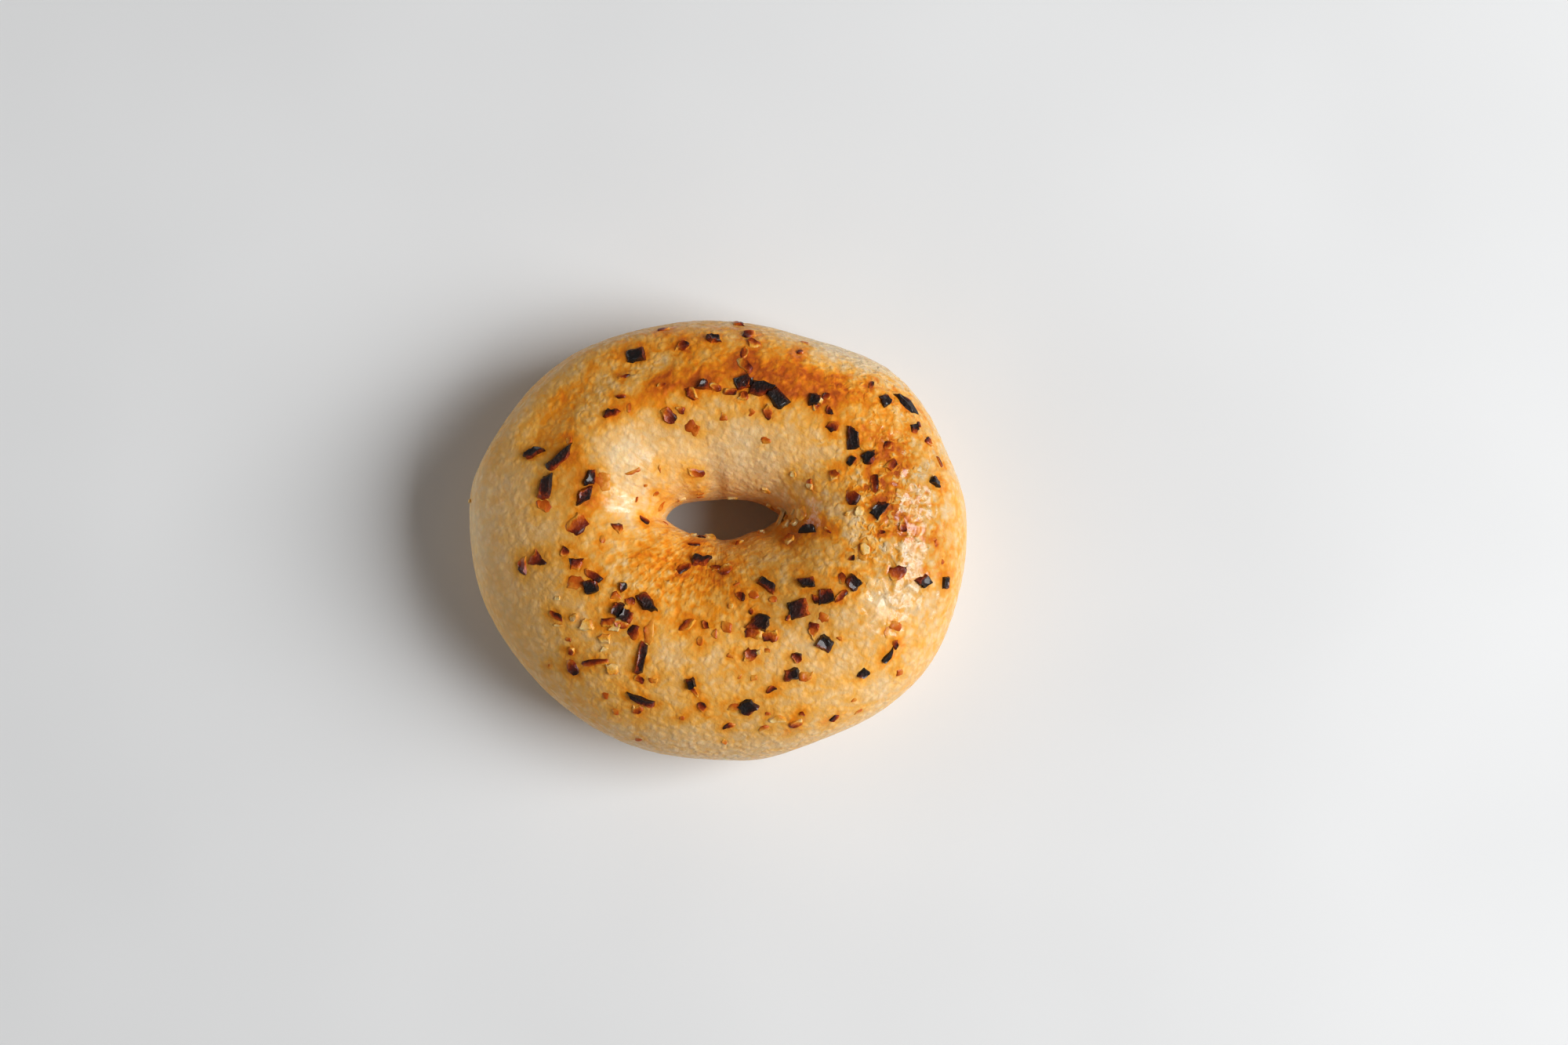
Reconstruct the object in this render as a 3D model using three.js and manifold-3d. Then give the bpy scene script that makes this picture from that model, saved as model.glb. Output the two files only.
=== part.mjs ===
// A toasted onion bagel: one baked ring of dough with scorched onion flakes stuck to its crust.
// Millimetres, +Z up. The origin is the middle of the flat base, on the surface that it rests on.
// +X runs along the long way of the ring and +Y along the short way.

import * as THREE from "three";
import Module from "manifold-3d";
import { mergeVertices } from "three/addons/utils/BufferGeometryUtils.js";

// The ring seen from above: an oval that is a little squarer than an ellipse.
const RING_LENGTH = 110;
const RING_WIDTH = 97.4;
const RING_SQUARENESS = 2.1;
const RING_MIDDLE = new THREE.Vector2(0.1, 0.2);

// Where the hand-shaped outline stands out (+) or falls short (-): direction, amount and reach.
const OUTLINE_SWELLS = [
  { at: 220, by: -1.5, reach: 24 },
  { at: 128, by: 0.7, reach: 18 },
  { at: 168, by: 0.9, reach: 9 },
  { at: 45, by: 0.9, reach: 9 },
  { at: 20, by: -0.9, reach: 9 },
  { at: 66, by: -0.7, reach: 10 },
  { at: 325, by: 0.7, reach: 14 },
  { at: 282, by: 0.5, reach: 9 },
];

// The hole at its waist: nearly baked shut, a lens with pointed ends, off the ring's middle.
const HOLE_LENGTH = 25.4;
const HOLE_WIDTH = 9;
const HOLE_SQUARENESS = 1.7;
const HOLE_MIDDLE = new THREE.Vector2(1, 4.7);

// The section of the ring: heights of the widest place and of the crest, and the flat base.
const BELLY_HEIGHT = 16.5;
const CREST_HEIGHT = 36.4;
const CREST_LEAN = 0.8;
const CREST_PLACE = 0.5;
const SECTION_SQUARENESS = 2.1;
const BASE_CUT = 1.12;

// The oven's unevenness: waves round the ring and over its section, with their depth.
const LUMPS = [
  { round: 3, over: 1, deep: 0.3, shift: 20 },
  { round: 5, over: 2, deep: 0.28, shift: 120 },
  { round: 8, over: 3, deep: 0.2, shift: 230 },
  { round: 13, over: 2, deep: 0.14, shift: 75 },
];

// Shallow folds left by rolling the dough: the stretch of the ring, the place over the section,
// the depth (a ridge is negative) and half the width of the fold.
const FOLDS = [
  { from: 108, to: 150, over: 58, deep: 0.9, half: 11 },
  { from: 112, to: 158, over: 32, deep: -0.6, half: 10 },
  { from: 118, to: 160, over: 84, deep: -0.5, half: 11 },
  { from: 318, to: 340, over: 44, deep: 0.6, half: 6 },
  { from: 68, to: 112, over: 22, deep: 0.4, half: 9 },
];
const FOLD_FADE = 12;

// Mesh steps round the ring and over its section.
const ROUND_STEPS = 84;
const OVER_STEPS = 30;

// How far a flake stands out of the crust, how deep it is rooted in it, how much wider its foot
// is than its top, how ragged it is as a share of its width, and the width that makes a chunk.
const FLAKE_PROUD = 0.9;
const FLAKE_ROOT = 1.3;
const FLAKE_FLARE = 1.16;
const FLAKE_RAGGED = 0.13;
const CHUNK_WIDTH = 3;
const CHUNK_CORNERS = 6;
const CHIP_CORNERS = [4, 5];

// The larger onion flakes seen from above: x, y, length, width, and turn from +X in degrees.
const FLAKES = [
  [10.5, 30, 8.7, 4.2, -20],
  [41.5, 28.5, 7, 2.4, -45],
  [-33.5, 16, 7.3, 2.3, 42],
  [-39.5, 17.5, 5.2, 2.1, 27],
  [-37, 10, 5.8, 2.3, 78],
  [-27, 12, 3.8, 3.5, 0],
  [-28.5, 8, 4.9, 2.4, 25],
  [-37.5, 5.5, 3.7, 3.1, 0],
  [-30, 1.5, 4.2, 3.5, 45],
  [-42, -7, 4.7, 2.4, 85],
  [-38.5, -5.5, 4.2, 3.1, 0],
  [-30, -11, 4.4, 2.8, 0],
  [-31, -29, 3.3, 3.1, 0],
  [-26, -28, 5.9, 1.6, 10],
  [-20, -20, 4.2, 2.1, -20],
  [-17, -21.5, 3.7, 3.5, 0],
  [-15, -15.5, 4.5, 2.6, -60],
  [-16, -27, 6.6, 1.7, 80],
  [-16.5, -36, 7.3, 1.7, -18],
  [-6.5, -20, 4.5, 2.4, 0],
  [-3.5, -6, 4.2, 2.3, 0],
  [1.5, -8, 3.8, 2.8, 40],
  [9, -19.5, 4.2, 3.3, -15],
  [11.5, -22.5, 3.3, 3.1, 0],
  [7.5, -26.5, 3.5, 2.6, 0],
  [6.5, -37.5, 3.7, 3.3, 45],
  [19.5, -31, 3.8, 2.3, 0],
  [23, -24.5, 3.7, 2.8, 60],
  [17.5, -16.5, 4, 3.7, 20],
  [11, -11.5, 4.5, 1.9, -38],
  [23.5, -14, 3.1, 3.1, 10],
  [29, -11.5, 4.2, 3.1, 50],
  [39, -9, 4.4, 3, 0],
  [44.5, -10.5, 2.8, 2.4, 30],
  [37, -26.5, 4.2, 1.4, 50],
  [16, -1, 4.4, 2.8, -20],
  [35, 5, 4.9, 2.6, 55],
  [29, 7.5, 3.7, 2.8, -30],
  [47.5, 11.5, 3, 2.6, 45],
  [29.5, 20.5, 4.9, 2.4, 88],
  [36.5, 29, 3, 2.6, 45],
  [11, 26, 4.4, 2.1, -60],
  [-5, 13.5, 4.9, 2.1, -22],
  [-5, 22.5, 4.7, 2.8, -45],
  [-10.5, 25.5, 4.4, 2.8, -50],
  [-5.5, 30, 3.1, 3, 0],
  [-23, 25.5, 4, 2.3, 48],
  [-18, 39, 4.2, 3.1, 10],
  [-7.5, 41, 3.5, 2.6, 0],
  [6, 38, 6.5, 1.6, 80],
  [4.5, 46.5, 2.8, 2.4, 0],
];

// The smaller flakes between them are drawn at random, spread over the crust's upper side.
const SMALL_FLAKES = 44;
const SMALL_LENGTH = [2, 3];
const SMALL_THINNEST = 0.55;
const SMALL_OVER = [38, 142];
const SMALL_GAP = 4;
const SEED = 20117;

// The crust's colour in the daylight of a kitchen.
const crust = new THREE.MeshStandardMaterial({ color: 0xd9a35c, roughness: 0.5, metalness: 0 });

const radians = THREE.MathUtils.degToRad;

// How far below the belly, over the section, the ring meets its flat base, in degrees.
const BASE_EDGE = THREE.MathUtils.radToDeg(Math.asin((1 / BASE_CUT) ** (SECTION_SQUARENESS / 2)));

// A repeatable random number between two limits.
const DRAW_FACTOR = 1664525;
const DRAW_STEP = 1013904223;
const DRAW_RANGE = 2 ** 32;
let state = SEED;
function draw(low, high) {
  state = (state * DRAW_FACTOR + DRAW_STEP) % DRAW_RANGE;
  return low + ((high - low) * state) / DRAW_RANGE;
}

// A cosine or sine with its curve made squarer or slimmer, as a superellipse has it.
function squared(wave, squareness) {
  return Math.sign(wave) * Math.abs(wave) ** (2 / squareness);
}

// The point of an oval at an angle.
function ovalPoint(length, width, squareness, angle, middle) {
  const x = (length / 2) * squared(Math.cos(angle), squareness);
  const y = (width / 2) * squared(Math.sin(angle), squareness);
  return new THREE.Vector2(x, y).add(middle);
}

// The shortest way between two directions, in degrees.
function degreesApart(a, b) {
  return Math.abs(THREE.MathUtils.euclideanModulo(a - b + 180, 360) - 180);
}

// The outer edge of the ring, with its swells.
function outlinePoint(angle) {
  const point = ovalPoint(RING_LENGTH, RING_WIDTH, RING_SQUARENESS, angle, RING_MIDDLE);
  const direction = THREE.MathUtils.radToDeg(point.angle());
  let growth = 0;
  for (const swell of OUTLINE_SWELLS) {
    growth += swell.by * Math.exp(-((degreesApart(direction, swell.at) / swell.reach) ** 2));
  }
  return point.multiplyScalar(1 + growth / point.length());
}

// How far a place on the crust stands out of the smooth form.
function relief(round, over) {
  let height = 0;
  for (const lump of LUMPS) {
    const wave = Math.sin(radians(lump.round * round + lump.shift));
    height += lump.deep * wave * Math.cos(radians(lump.over * over + lump.shift));
  }
  for (const fold of FOLDS) {
    const middle = (fold.from + fold.to) / 2;
    const beyond = Math.max(0, degreesApart(round, middle) - (fold.to - fold.from) / 2);
    const along = Math.exp(-((beyond / FOLD_FADE) ** 2));
    height -= fold.deep * along * Math.exp(-(((over - fold.over) / fold.half) ** 2));
  }
  return height;
}

// A point of the ring's surface. Over its section 0 is the belly, 90 the crest, 180 the waist.
function ringPoint(round, over) {
  const outer = outlinePoint(radians(round));
  const inner = ovalPoint(HOLE_LENGTH, HOLE_WIDTH, HOLE_SQUARENESS, radians(round), HOLE_MIDDLE);
  const side = squared(Math.cos(radians(over)), SECTION_SQUARENESS);
  const rise = squared(Math.sin(radians(over)), SECTION_SQUARENESS);
  const half = side > 0 ? 1 - CREST_PLACE : CREST_PLACE;
  const plan = inner.clone().lerp(outer, CREST_PLACE + half * side);
  const crest = CREST_HEIGHT - CREST_LEAN * Math.sin(radians(round));
  const height = rise > 0 ? (crest - BELLY_HEIGHT) * rise : BELLY_HEIGHT * BASE_CUT * rise;
  const point = new THREE.Vector3(plan.x, plan.y, Math.max(0, BELLY_HEIGHT + height));

  const core = inner.clone().lerp(outer, CREST_PLACE);
  const outward = point.clone().sub(new THREE.Vector3(core.x, core.y, BELLY_HEIGHT)).normalize();
  const clearOfBase = THREE.MathUtils.smoothstep(point.z, 1, BELLY_HEIGHT);
  return point.addScaledVector(outward, relief(round, over) * clearOfBase);
}

// The closed skin of the ring: rows from the base's outer edge over the crest to its inner edge.
function ringGeometry() {
  const positions = [];
  const faces = [];
  const rows = OVER_STEPS + 1;
  for (let i = 0; i < ROUND_STEPS; i += 1) {
    for (let j = 0; j < rows; j += 1) {
      const over = THREE.MathUtils.lerp(-BASE_EDGE, 180 + BASE_EDGE, j / OVER_STEPS);
      positions.push(...ringPoint((360 * i) / ROUND_STEPS, over).toArray());
    }
  }
  for (let i = 0; i < ROUND_STEPS; i += 1) {
    const here = i * rows;
    const next = ((i + 1) % ROUND_STEPS) * rows;
    for (let j = 0; j < rows; j += 1) {
      const above = (j + 1) % rows;
      faces.push(here + j, next + j, next + above);
      faces.push(here + j, next + above, here + above);
    }
  }
  const geometry = new THREE.BufferGeometry();
  geometry.setAttribute("position", new THREE.Float32BufferAttribute(positions, 3));
  geometry.setIndex(faces);
  return geometry;
}

// One ragged piece of onion, lying flat at the origin with its foot below it.
function flakeGeometry(length, width) {
  const corners = width > CHUNK_WIDTH ? CHUNK_CORNERS : Math.round(draw(...CHIP_CORNERS));
  const chip = new THREE.CylinderGeometry(0.5, 0.5 * FLAKE_FLARE, FLAKE_PROUD + FLAKE_ROOT, corners);
  chip.rotateX(Math.PI / 2);
  chip.rotateZ(Math.PI / corners);
  const spread = 1 / Math.cos(Math.PI / corners);
  chip.scale(length * spread, width * spread, 1);
  chip.translate(0, 0, (FLAKE_PROUD - FLAKE_ROOT) / 2);
  chip.deleteAttribute("normal");
  chip.deleteAttribute("uv");
  const merged = mergeVertices(chip);
  const places = merged.getAttribute("position");
  const ragged = FLAKE_RAGGED * width;
  for (let i = 0; i < places.count; i += 1) {
    places.setX(i, places.getX(i) + draw(-ragged, ragged));
    places.setY(i, places.getY(i) + draw(-ragged, ragged));
    if (places.getZ(i) > 0) {
      places.setZ(i, places.getZ(i) + draw(-ragged, ragged));
    }
  }
  return merged;
}

// Lays a flake on the crust under a place seen from above, tilted as the crust is there.
function layFlake(ring, x, y, length, width, turn) {
  const above = new THREE.Vector3(x, y, 2 * CREST_HEIGHT);
  const hit = new THREE.Raycaster(above, new THREE.Vector3(0, 0, -1)).intersectObject(ring)[0];
  const normal = hit.face.normal;
  const along = new THREE.Vector3(Math.cos(radians(turn)), Math.sin(radians(turn)), 0);
  along.addScaledVector(normal, -along.dot(normal)).normalize();
  const across = new THREE.Vector3().crossVectors(normal, along);
  const place = new THREE.Matrix4().makeBasis(along, across, normal).setPosition(hit.point);
  return flakeGeometry(length, width).applyMatrix4(place);
}

// The small flakes' places: each keeps its distance from all flakes before it.
function smallFlakes() {
  const taken = FLAKES.map(([x, y]) => new THREE.Vector2(x, y));
  const rows = [];
  while (rows.length < SMALL_FLAKES) {
    const point = ringPoint(draw(0, 360), draw(...SMALL_OVER));
    const plan = new THREE.Vector2(point.x, point.y);
    if (taken.every((other) => other.distanceTo(plan) > SMALL_GAP)) {
      const length = draw(...SMALL_LENGTH);
      taken.push(plan);
      rows.push([plan.x, plan.y, length, length * draw(SMALL_THINNEST, 1), draw(0, 180)]);
    }
  }
  return rows;
}

const wasm = await Module();
wasm.setup();

// Turns a closed geometry into a solid that can be joined.
function solidOf(geometry) {
  const vertProperties = new Float32Array(geometry.getAttribute("position").array);
  const triVerts = new Uint32Array(geometry.getIndex().array);
  return new wasm.Manifold(new wasm.Mesh({ numProp: 3, vertProperties, triVerts }));
}

// Turns a joined solid back into a geometry with flat-shaded faces.
function geometryOf(solid) {
  const mesh = solid.getMesh();
  const geometry = new THREE.BufferGeometry();
  geometry.setAttribute("position", new THREE.Float32BufferAttribute(mesh.vertProperties, 3));
  geometry.setIndex(new THREE.Uint32BufferAttribute(mesh.triVerts, 1));
  return geometry;
}

// The whole bagel: the ring with every flake fused to its crust.
function bagelMesh() {
  const ring = new THREE.Mesh(ringGeometry());
  ring.updateMatrixWorld();
  let solid = solidOf(ring.geometry);
  for (const [x, y, length, width, turn] of [...FLAKES, ...smallFlakes()]) {
    solid = solid.add(solidOf(layFlake(ring, x, y, length, width, turn)));
  }
  const mesh = new THREE.Mesh(geometryOf(solid), crust);
  mesh.name = "bagel";
  return mesh;
}

const group = new THREE.Group();
group.add(bagelMesh());

export default group;
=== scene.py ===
"""A toasted onion bagel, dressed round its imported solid.

The bagel is one baked ring with a nearly closed hole. Its crust is modelled here with the baked relief
that the solid leaves out, and the onion on it is four kinds of pieces, from charred flakes to pale
crumbs, each laid on the crust.
"""
import sys
import logging
import math
import random
from dataclasses import dataclass, field
from enum import Enum

import bpy
import numpy as np
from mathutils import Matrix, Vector, noise
from mathutils.bvhtree import BVHTree


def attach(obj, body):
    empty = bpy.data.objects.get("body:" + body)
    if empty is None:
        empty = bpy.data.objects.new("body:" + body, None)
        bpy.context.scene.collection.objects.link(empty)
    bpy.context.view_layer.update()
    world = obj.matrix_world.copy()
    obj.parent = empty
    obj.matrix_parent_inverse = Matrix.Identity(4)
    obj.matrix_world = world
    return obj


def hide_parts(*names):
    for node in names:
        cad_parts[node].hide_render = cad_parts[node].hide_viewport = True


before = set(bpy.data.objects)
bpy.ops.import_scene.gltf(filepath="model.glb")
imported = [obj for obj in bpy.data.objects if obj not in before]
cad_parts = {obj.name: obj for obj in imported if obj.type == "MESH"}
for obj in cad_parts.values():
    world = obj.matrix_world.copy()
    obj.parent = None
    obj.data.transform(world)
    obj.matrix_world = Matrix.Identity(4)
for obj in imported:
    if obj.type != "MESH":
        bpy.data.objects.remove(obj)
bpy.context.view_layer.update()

LOG = logging.getLogger("bagel")
MM = 0.001
BODY = "root"
NODE = "bagel"
WANDER_SHIFTS = (Vector((9.3, 0.0, 0.0)), Vector((0.0, 17.7, 0.0)), Vector((0.0, 0.0, 31.1)))
SMOOTH_ANGLE = math.radians(50.0)
Color = tuple[float, float, float]
Output = bpy.types.NodeSocket


def degrees_apart(a: np.ndarray, b: float) -> np.ndarray:
    """Finds the shortest way from each direction to another one.

    Args:
        a: Directions in degrees.
        b: The other direction in degrees.

    Returns:
        The differences in degrees, never negative.
    """
    return np.abs((a - b + 180.0) % 360.0 - 180.0)


def squared(wave: np.ndarray, squareness: float) -> np.ndarray:
    """Makes a cosine or sine squarer or slimmer, as a superellipse has it.

    Args:
        wave: Cosines or sines.
        squareness: 2 keeps a circle, more is squarer and less is pointed.

    Returns:
        The reshaped waves.
    """
    return np.sign(wave) * np.abs(wave) ** (2.0 / squareness)


def wandering(place: Vector) -> Vector:
    """Finds a smooth wandering direction from three places in a noise that is the same in every run.

    Args:
        place: Where in the noise to look.

    Returns:
        The direction, about half a unit long.
    """
    return Vector([noise.noise(place + shift) for shift in WANDER_SHIFTS])


@dataclass(frozen=True)
class Swell:
    """Where the hand-shaped outline stands out (+) or falls short (-), in degrees and millimetres."""

    at: float
    by: float
    reach: float


@dataclass(frozen=True)
class Lump:
    """A wave of the oven's unevenness: turns round the ring and over its section, depth and shift."""

    round: int
    over: int
    deep: float
    shift: float


@dataclass(frozen=True)
class Fold:
    """A shallow fold along the ring: its stretch, its place over the section, depth and half its width."""

    start: float
    end: float
    over: float
    deep: float
    half: float


@dataclass(frozen=True)
class RingForm:
    """The smooth form of the ring in millimetres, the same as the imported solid's.

    A place on it has two angles: round the ring from +X, and over the section, where 0 is the belly,
    90 the crest and 180 the waist of the hole.
    """

    length: float = 110.0
    width: float = 97.4
    squareness: float = 2.1
    middle: tuple[float, float] = (0.1, 0.2)
    hole_length: float = 25.4
    hole_width: float = 9.0
    hole_squareness: float = 1.7
    hole_middle: tuple[float, float] = (1.0, 4.7)
    belly_height: float = 16.5
    crest_height: float = 36.4
    crest_lean: float = 0.8
    crest_place: float = 0.5
    section_squareness: float = 2.1
    base_cut: float = 1.12
    fold_fade: float = 12.0
    swells: tuple[Swell, ...] = (
        Swell(220, -1.5, 24), Swell(128, 0.7, 18), Swell(168, 0.9, 9), Swell(45, 0.9, 9),
        Swell(20, -0.9, 9), Swell(66, -0.7, 10), Swell(325, 0.7, 14), Swell(282, 0.5, 9),
    )
    lumps: tuple[Lump, ...] = (
        Lump(3, 1, 0.3, 20), Lump(5, 2, 0.28, 120), Lump(8, 3, 0.2, 230), Lump(13, 2, 0.14, 75),
    )
    folds: tuple[Fold, ...] = (
        Fold(108, 150, 58, 0.9, 11), Fold(112, 158, 32, -0.6, 10), Fold(118, 160, 84, -0.5, 11),
        Fold(318, 340, 44, 0.6, 6), Fold(68, 112, 22, 0.4, 9),
    )

    @property
    def base_edge(self) -> float:
        """How far below the belly, over the section, the ring meets its flat base, in degrees."""
        return math.degrees(math.asin((1.0 / self.base_cut) ** (self.section_squareness / 2.0)))

    def oval(self, length: float, width: float, squareness: float, angle: np.ndarray) -> np.ndarray:
        """Finds the points of an oval about its own middle.

        Args:
            length: Size along X.
            width: Size along Y.
            squareness: The oval's superellipse power.
            angle: Angles in degrees.

        Returns:
            One row of x and y for each angle.
        """
        turn = np.radians(angle)
        x = length / 2.0 * squared(np.cos(turn), squareness)
        y = width / 2.0 * squared(np.sin(turn), squareness)
        return np.stack([x, y], axis=-1)

    def outline(self, angle: np.ndarray) -> np.ndarray:
        """Finds the outer edge of the ring, with its swells.

        Args:
            angle: Angles round the ring in degrees.

        Returns:
            One row of x and y for each angle.
        """
        points = self.oval(self.length, self.width, self.squareness, angle) + np.array(self.middle)
        direction = np.degrees(np.arctan2(points[..., 1], points[..., 0]))
        growth = np.zeros_like(direction)
        for swell in self.swells:
            growth += swell.by * np.exp(-((degrees_apart(direction, swell.at) / swell.reach) ** 2))
        return points * (1.0 + growth / np.linalg.norm(points, axis=-1))[..., None]

    def relief(self, around: np.ndarray, over: np.ndarray) -> np.ndarray:
        """Finds how far the crust's large lumps and folds stand out of the smooth form.

        Args:
            around: Angles round the ring in degrees.
            over: Angles over the section in degrees.

        Returns:
            Heights in millimetres.
        """
        height = np.zeros_like(around)
        for lump in self.lumps:
            wave = np.sin(np.radians(lump.round * around + lump.shift))
            height += lump.deep * wave * np.cos(np.radians(lump.over * over + lump.shift))
        for fold in self.folds:
            middle = (fold.start + fold.end) / 2.0
            beyond = np.maximum(0.0, degrees_apart(around, middle) - (fold.end - fold.start) / 2.0)
            along = np.exp(-((beyond / self.fold_fade) ** 2))
            height -= fold.deep * along * np.exp(-(((over - fold.over) / fold.half) ** 2))
        return height

    def points(self, around: np.ndarray, over: np.ndarray) -> np.ndarray:
        """Finds points of the ring's surface.

        Args:
            around: Angles round the ring in degrees.
            over: Angles over the section in degrees.

        Returns:
            One row of x, y and z in millimetres for each place.
        """
        outer = self.outline(around)
        inner = self.oval(self.hole_length, self.hole_width, self.hole_squareness, around)
        inner = inner + np.array(self.hole_middle)
        side = squared(np.cos(np.radians(over)), self.section_squareness)
        rise = squared(np.sin(np.radians(over)), self.section_squareness)
        half = np.where(side > 0, 1.0 - self.crest_place, self.crest_place)
        plan = inner + (outer - inner) * (self.crest_place + half * side)[..., None]
        crest = self.crest_height - self.crest_lean * np.sin(np.radians(around))
        above = self.belly_height + (crest - self.belly_height) * rise
        below = np.maximum(0.0, self.belly_height * (1.0 + self.base_cut * rise))
        z = np.where(rise > 0, above, below)
        points = np.concatenate([plan, z[..., None]], axis=-1)
        core = inner + (outer - inner) * self.crest_place
        core = np.concatenate([core, np.full_like(z, self.belly_height)[..., None]], axis=-1)
        outward = points - core
        outward /= np.linalg.norm(outward, axis=-1, keepdims=True)
        share = np.clip((z - 1.0) / (self.belly_height - 1.0), 0.0, 1.0)
        clear_of_base = share * share * (3.0 - 2.0 * share)
        signed_over = np.where(over > 180.0 + self.base_edge, over - 360.0, over)
        return points + outward * (self.relief(around, signed_over) * clear_of_base)[..., None]


@dataclass(frozen=True)
class Patch:
    """An oval place on the crust seen from above, in millimetres and degrees, and how much it adds there."""

    x: float
    y: float
    half_x: float
    half_y: float
    turn: float
    amount: float

    def weight(self, plan: np.ndarray) -> np.ndarray:
        """Finds how much the patch adds at places on the crust.

        Args:
            plan: One row of x and y in millimetres for each place.

        Returns:
            The amounts, which fade out smoothly past the patch's half sizes.
        """
        turn = math.radians(self.turn)
        dx = plan[:, 0] - self.x
        dy = plan[:, 1] - self.y
        along = (dx * math.cos(turn) + dy * math.sin(turn)) / self.half_x
        across = (dy * math.cos(turn) - dx * math.sin(turn)) / self.half_y
        return self.amount * np.exp(-((along**2 + across**2) ** 1.3))


# How much more or less than the rest of the crust a place is toasted.
PALEST = -0.3
PALE = -0.2
LIGHT = -0.1
WARM = 0.1
GOLDEN = 0.2
CARAMEL = 0.4
BROWN = 0.7

# How much brighter or darker than the rest of the crust a place is. In places this is painted light and
# shading: a lighter rim on the left, a painted highlight left of the hole, a darker left shoulder, a right
# flank that faces the window painted darker, and a painted dark corner at the hole's right end; elsewhere it
# is how evenly the crust browned.
BRIGHT = 0.2
DULL = -0.2
DARK = -0.3


def painted(patches: tuple[Patch, ...], plan: np.ndarray, base: float) -> np.ndarray:
    """Adds patches up over a base amount.

    Args:
        patches: The patches.
        plan: One row of x and y in millimetres for each place.
        base: The amount away from all patches.

    Returns:
        The sum at each place.
    """
    total = np.full(len(plan), base)
    for patch in patches:
        total += patch.weight(plan)
    return total


@dataclass(frozen=True)
class Stop:
    """One colour of a ramp and where it stands."""

    at: float
    color: Color


class NodeSheet:
    """A material's node sheet, with short ways to add and join its nodes."""

    def __init__(self, name: str) -> None:
        """Starts a material.

        Args:
            name: The material's name.
        """
        self.material = bpy.data.materials.new(name)
        self.material.use_nodes = True
        self.tree = self.material.node_tree
        self.shader = self.tree.nodes["Principled BSDF"]
        place = self.tree.nodes.new("ShaderNodeTexCoord")
        self.place = place.outputs["Object"]

    def join(self, value: object, socket: bpy.types.NodeSocket) -> None:
        """Links an output to a socket, or sets the socket's own value.

        Args:
            value: An output socket or a constant.
            socket: The socket that takes it.
        """
        if isinstance(value, bpy.types.NodeSocket):
            self.tree.links.new(value, socket)
        else:
            socket.default_value = value

    def added(self, kind: str, inputs: dict[int | str, object]) -> bpy.types.Node:
        """Adds a node and joins its inputs.

        Args:
            kind: The node's type, without its common start.
            inputs: Outputs or constants by the input's name or place.

        Returns:
            The node.
        """
        node = self.tree.nodes.new(f"ShaderNode{kind}")
        for name, value in inputs.items():
            self.join(value, node.inputs[name])
        return node

    def dress(self, inputs: dict[str, object]) -> None:
        """Joins the shader's own inputs.

        Args:
            inputs: Outputs or constants by the input's name.
        """
        for name, value in inputs.items():
            self.join(value, self.shader.inputs[name])

    def attribute(self, name: str) -> Output:
        """Reads a number stored on the mesh's points.

        Args:
            name: The attribute's name.

        Returns:
            The number's output.
        """
        node = self.added("Attribute", {})
        node.attribute_name = name
        return node.outputs["Fac"]

    def grain(self, scale: float, detail: float = 3.0, roughness: float = 0.55, warp: float = 0.0,
              place: object = None) -> Output:
        """Adds a cloudy noise.

        Args:
            scale: Waves for each metre.
            detail: How many finer layers it has.
            roughness: How strong the finer layers are.
            warp: How much it is distorted.
            place: The coordinates to use in place of the object's own.

        Returns:
            The noise from 0 to 1.
        """
        node = self.added("TexNoise", {
            "Vector": place or self.place, "Scale": scale, "Detail": detail, "Roughness": roughness,
            "Distortion": warp,
        })
        return node.outputs["Fac"]

    def cells(self, scale: float, place: object = None, softness: float = 0.0) -> Output:
        """Adds a cell pattern.

        Args:
            scale: Cells for each metre.
            place: The coordinates to use in place of the object's own.
            softness: How softly the cells meet.

        Returns:
            The distance from each cell's middle.
        """
        node = self.added("TexVoronoi", {"Vector": place or self.place, "Scale": scale})
        if softness > 0.0:
            node.feature = "SMOOTH_F1"
            node.inputs["Smoothness"].default_value = softness
        return node.outputs["Distance"]

    def math(self, operation: str, a: object, b: object = 0.0, clamp: bool = False) -> Output:
        """Adds a sum of two numbers.

        Args:
            operation: The kind of sum.
            a: The first number or output.
            b: The second number or output.
            clamp: Whether the result is kept from 0 to 1.

        Returns:
            The result's output.
        """
        node = self.added("Math", {0: a, 1: b})
        node.operation = operation
        node.use_clamp = clamp
        return node.outputs["Value"]

    def times(self, *values: object) -> Output:
        """Multiplies numbers.

        Args:
            values: The numbers or outputs.

        Returns:
            The product's output.
        """
        product = values[0]
        for value in values[1:]:
            product = self.math("MULTIPLY", product, value)
        return product

    def total(self, shares: tuple[tuple[object, float], ...]) -> Output:
        """Adds up outputs, each with its share.

        Args:
            shares: The outputs and how much of each is added.

        Returns:
            The sum's output.
        """
        total = 0.0
        for value, share in shares:
            total = self.math("ADD", total, self.times(value, share))
        return total

    def spread(self, value: object, low: float, high: float, to_low: float, to_high: float) -> Output:
        """Maps a number from one range to another and clamps it there.

        Args:
            value: The number's output.
            low: The start of the first range.
            high: The end of the first range.
            to_low: What the start becomes.
            to_high: What the end becomes.

        Returns:
            The result's output.
        """
        node = self.added("MapRange", {
            "Value": value, "From Min": low, "From Max": high, "To Min": to_low, "To Max": to_high,
        })
        return node.outputs["Result"]

    def ramp(self, value: object, stops: tuple[Stop, ...]) -> Output:
        """Turns a number into a colour.

        Args:
            value: The number's output.
            stops: The ramp's colours in order.

        Returns:
            The colour's output.
        """
        node = self.added("ValToRGB", {"Fac": value})
        elements = node.color_ramp.elements
        while len(elements) < len(stops):
            elements.new(0.5)
        for element, stop in zip(elements, stops):
            element.position = stop.at
            element.color = (*stop.color, 1.0)
        return node.outputs["Color"]

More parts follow.
